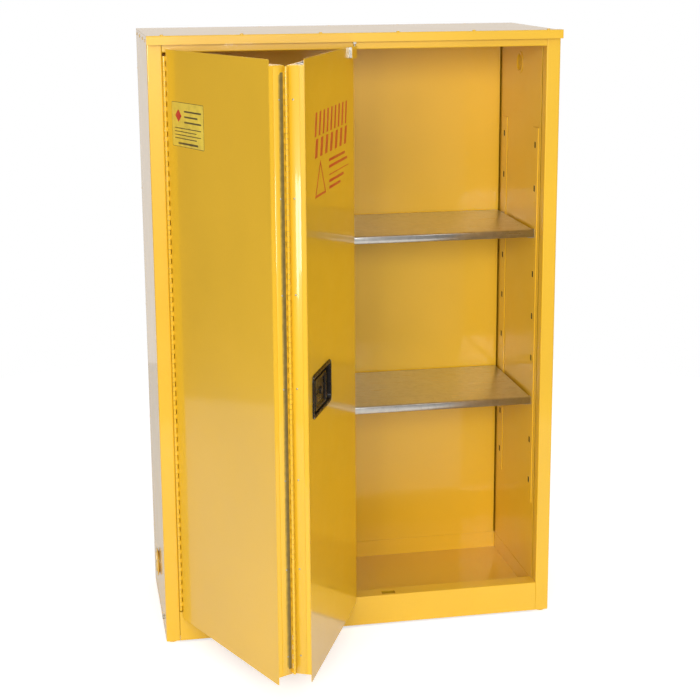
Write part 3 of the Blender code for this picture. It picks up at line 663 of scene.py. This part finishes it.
def bolt_guides():
    """Plates at the leaf's ends that steer the latch rods."""
    for end, z, way in (("upper", 1.602, 1), ("lower", 0.095, -1)):
        bm = bmesh.new()
        at = facing((0, 0, way), (0, 0, z))
        ring = 0.0052
        outer = rounded(-0.032, 0.032, -0.010, 0.010, 0.004, steps=7)
        plate = []
        for r, h in ((0, 0.0001), (0, 0.0010), (0.0004, 0.0013)):
            plate.append([(px * (1 - r / 0.032), py * (1 - r / 0.010), h)
                          for px, py, _ in outer])
        hole = []
        for h in (0.0013, 0.0001):
            hole.append([(ring * cos(atan2(py, px)), ring * sin(atan2(py, px)), h)
                         for px, py, _ in outer])
        x, y, _ = at.inverted() @ Vector((*LATCH_AT, z))
        loft(bm, plate + hole, at @ Matrix.Translation((x, y, 0)), close=True)
        for dx in (-0.024, 0.024):
            pan_head(bm, at @ Matrix.Translation((x + dx, y, 0.0013)), 0.0030, 0.0016)
        piece(f"bolt_guide_{end}", bm, "zinc", "door_right", RIGHT)


# ---- shelves and standards ----------------------------------------------------------
def shelves():
    """Each shelf is one sheet folded down over round edges, with open corners below."""
    for level in ("lower", "upper"):
        name = f"shelf_{level}"
        low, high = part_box(name)
        x0, y0, under = low
        x1, y1, top = high
        bend = 0.0042
        rim = []
        for i in range(6):
            t = i / 5 * pi / 2
            rim.append((bend * (1 - sin(t)), top - bend * (1 - cos(t))))
        rim += [(0.0, top - 0.010), (0.0, under + 0.0016), (0.0006, under + 0.0005),
                (0.0016, under), (0.0120, under), (0.0138, under)]
        bm = bmesh.new()
        corners = ((x0, y0), (x1, y0), (x1, y1), (x0, y1))
        centre = ((x0 + x1) / 2, (y0 + y1) / 2)
        for i in range(4):
            a, b = Vector(corners[i]), Vector(corners[(i + 1) % 4])
            along = (b - a).normalized()
            inward = Vector((-along.y, along.x))
            last = None
            for n, (inset, z) in enumerate(rim):
                slit = 0.0 if n < 5 else 0.0006
                pa = a + inward * inset + along * (inset + slit)
                pb = b + inward * inset - along * (inset + slit)
                pair = (bm.verts.new((*pa, z)), bm.verts.new((*pb, z)))
                if last:
                    bm.faces.new((last[0], last[1], pair[1], pair[0]))
                last = pair
        bmesh.ops.remove_doubles(bm, verts=bm.verts, dist=1e-6)
        edge = [v for v in bm.verts if abs(v.co.z - top) < 1e-6]
        edge.sort(key=lambda v: atan2(v.co.y - centre[1], v.co.x - centre[0]))
        bm.faces.new(edge)
        obj = piece(name + "_sheet", bm, "galvanised", name, None, (name,),
                    smooth=60)
        solid = obj.modifiers.new("sheet", "SOLIDIFY")
        solid.thickness = 0.0012
        solid.offset = -1


def standard_dimples():
    """Small raised locating dimples between the slots of the standards."""
    bm = bmesh.new()
    count, lowest, spacing = SLOTS
    for sign, x, y in standards():
        for i in range(count):
            dome(bm, facing((-sign, 0, 0), (x, y, lowest + spacing * i - 0.038)), 0.0032, 0.0010)
    piece("standard_dimples", bm, "yellow", "cabinet")


def slot_eyes():
    """Punched rims round the standards' slots, and thin dark plates of painted shade that stand for their depth.
    """
    rims, shade_plates = bmesh.new(), bmesh.new()
    count, lowest, spacing = SLOTS
    for sign, x, y in standards():
        for i in range(count):
            at = facing((-sign, 0, 0), (x, y, lowest + spacing * i))
            pressed(rims, (-0.0082, 0.0082, -0.0097, 0.0097), 0.0030,
                    [(0.0, 0.0), (0.0002, 0.0005), (0.0007, 0.0008), (0.0013, 0.0004),
                     (0.0014, 0.0)], at, close=True)
            if i not in CLIPPED_SLOTS:
                # painted shade: a dark plate on the slot's face
                pressed(shade_plates, (-0.0068, 0.0068, -0.0083, 0.0083), 0.0012,
                        [(0.0, 0.00005), (0.0, 0.00025), (0.0004, 0.0003)], at)
    piece("slot_rims", rims, "yellow", "cabinet")
    piece("slot_shadows", shade_plates, "shadow", "cabinet")


def liner_welds():
    """Spot welds down the corners of the liner's back."""
    bm = bmesh.new()
    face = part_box("liner_back")[0][1]
    for x in (-0.480, 0.480):
        for i in range(8):
            dome(bm, facing((0, -1, 0), (x, face, 0.16 + i * 0.20)), 0.0025, 0.0005)
    piece("liner_welds", bm, "yellow", "cabinet")


# ---- feet ---------------------------------------------------------------------------
def feet():
    """Levelling feet: a round pad and a plain stem with a groove at its foot."""
    for row in ("front", "rear"):
        for side in ("left", "right"):
            name = f"foot_{row}_{side}"
            low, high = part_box(name)
            x, y, _ = middle(name)
            at = Matrix.Translation((x, y, 0))
            r = (high[0] - low[0]) / 2
            bm = bmesh.new()
            lathe(bm, [(r - 0.0015, 0.0), (r, 0.0010), (r, 0.0032), (r - 0.0009, 0.0044),
                       (r - 0.0045, 0.0052), (0.0080, 0.0055), (0.0046, 0.0057), (0.0046, 0.0060),
                       (0.0042, 0.0064), (0.0046, 0.0068), (0.0046, high[2] - 0.001),
                       (0.0038, high[2])], at, 36)
            piece(name + "_pad", bm, "yellow", name, None, (name,))


# ---- stickers -----------------------------------------------------------------------
def sticker(name, rect, mat, body, place, r=0.002, lift=0.0, thick=0.00018):
    bm = bmesh.new()
    at = facing((0, -1, 0), (0, LEAF_FACE - lift, 0))
    pressed(bm, rect, r, [(0.0, 0.00002), (0.0, thick * 0.7), (0.0002, thick)], at)
    piece(name, bm, mat, body, place)


def right_marks():
    """Red hazard stripes, a plain triangle and rules where the leaf carries its warning."""
    bm = bmesh.new()
    face = facing((0, -1, 0), (0, LEAF_FACE, 0))
    start, end, lean = 0.0935, 0.4385, 0.012
    for z0, z1, count in ((1.427, 1.484, 9), (1.376, 1.421, 7)):
        pitch = (end - start) / count
        for i in range(count):
            x0 = start + pitch * i
            x1 = x0 + pitch * 0.72
            flat = [(x0, z0), (x1 - lean, z0), (x1, z1), (x0 + lean, z1)]
            loft(bm, [[(x, z, h) for x, z in flat] for h in PRINT], face)
    outer = [(0.0615 * sin(a), 0.0580 * cos(a)) for a in (0, 2 * pi / 3, 4 * pi / 3)]
    loops = []
    under, top = PRINT
    for scale, h in ((1.0, under), (1.0, top), (0.80, top), (0.80, under)):
        loops.append([(0.146 + x * scale, 1.310 + y * scale, h) for x, y in outer])
    loft(bm, loops, face, close=True)
    for z, x1, high in ((1.352, 0.400, 0.007), (1.336, 0.425, 0.007), (1.318, end, 0.0025),
                        (1.300, 0.385, 0.007), (1.284, 0.350, 0.007)):
        pressed(bm, (0.232, x1, z, z + high), 0.0015,
                [(0.0, 0.00002), (0.0, 0.00014), (0.0003, 0.00018)], face)
    piece("red_marks", bm, "red_print", "door_right", RIGHT)


def left_label():
    """A generic label: yellow ground, dark border, a red diamond and plain rules."""
    x0, x1, z0, z1 = -0.475, -0.314, 1.377, 1.489
    sticker("label_border", (x0, x1, z0, z1), "black_print", "door_left", LEFT, 0.003)
    sticker("label_ground", (x0 + 0.0012, x1 - 0.0012, z0 + 0.0012, z1 - 0.0012), "pale_print",
            "door_left", LEFT, 0.002, 0.0002)
    face = facing((0, -1, 0), (0, LEAF_FACE - 0.0004, 0))
    bm = bmesh.new()
    loops = []
    for r, h in ((0.0160, 0.00002), (0.0160, 0.00016), (0.0155, 0.00018)):
        loops.append([(x0 + 0.034 + r * cos(i * pi / 2), z1 - 0.034 + r * sin(i * pi / 2), h)
                      for i in range(4)])
    loft(bm, loops, face)
    piece("label_diamond", bm, "red_print", "door_left", LEFT)
    bm = bmesh.new()
    rules = [(0.064, 0.012 + 0.018 * (i % 2), 0.020 + i * 0.0135, 0.0042) for i in range(3)]
    rules += [(0.014, 0.014 + 0.022 * (i % 2), 0.064 + i * 0.0085, 0.0022) for i in range(4)]
    rules.append((0.030, 0.030, 0.1005, 0.0050))
    for left, right, down, high in rules:
        pressed(bm, (x0 + left, x1 - right, z1 - down - high, z1 - down), 0.0006,
                [(0.0, 0.00002), (0.0, 0.00014), (0.0002, 0.00018)], face)
    piece("label_rules", bm, "black_print", "door_left", LEFT)


make_camera()
make_studio()
materials = make_materials()
dress_cad(materials)
CABINET = Matrix.Translation((0, joint("door_hinge")["pos_m"][1] - HINGE_PIN[1], 0))
LEFT = turned("door_hinge", HINGE_PIN)
RIGHT = turned("fold_hinge", FOLD_PIN)
for build in (hinges, painted_crease_shadow, track_screws, shell_rivets, ground_stud, vent_caps,
              flame_arresters, handle, bolt_guides, shelves, standard_dimples, slot_eyes,
              liner_welds, feet, right_marks, left_label):
    build()
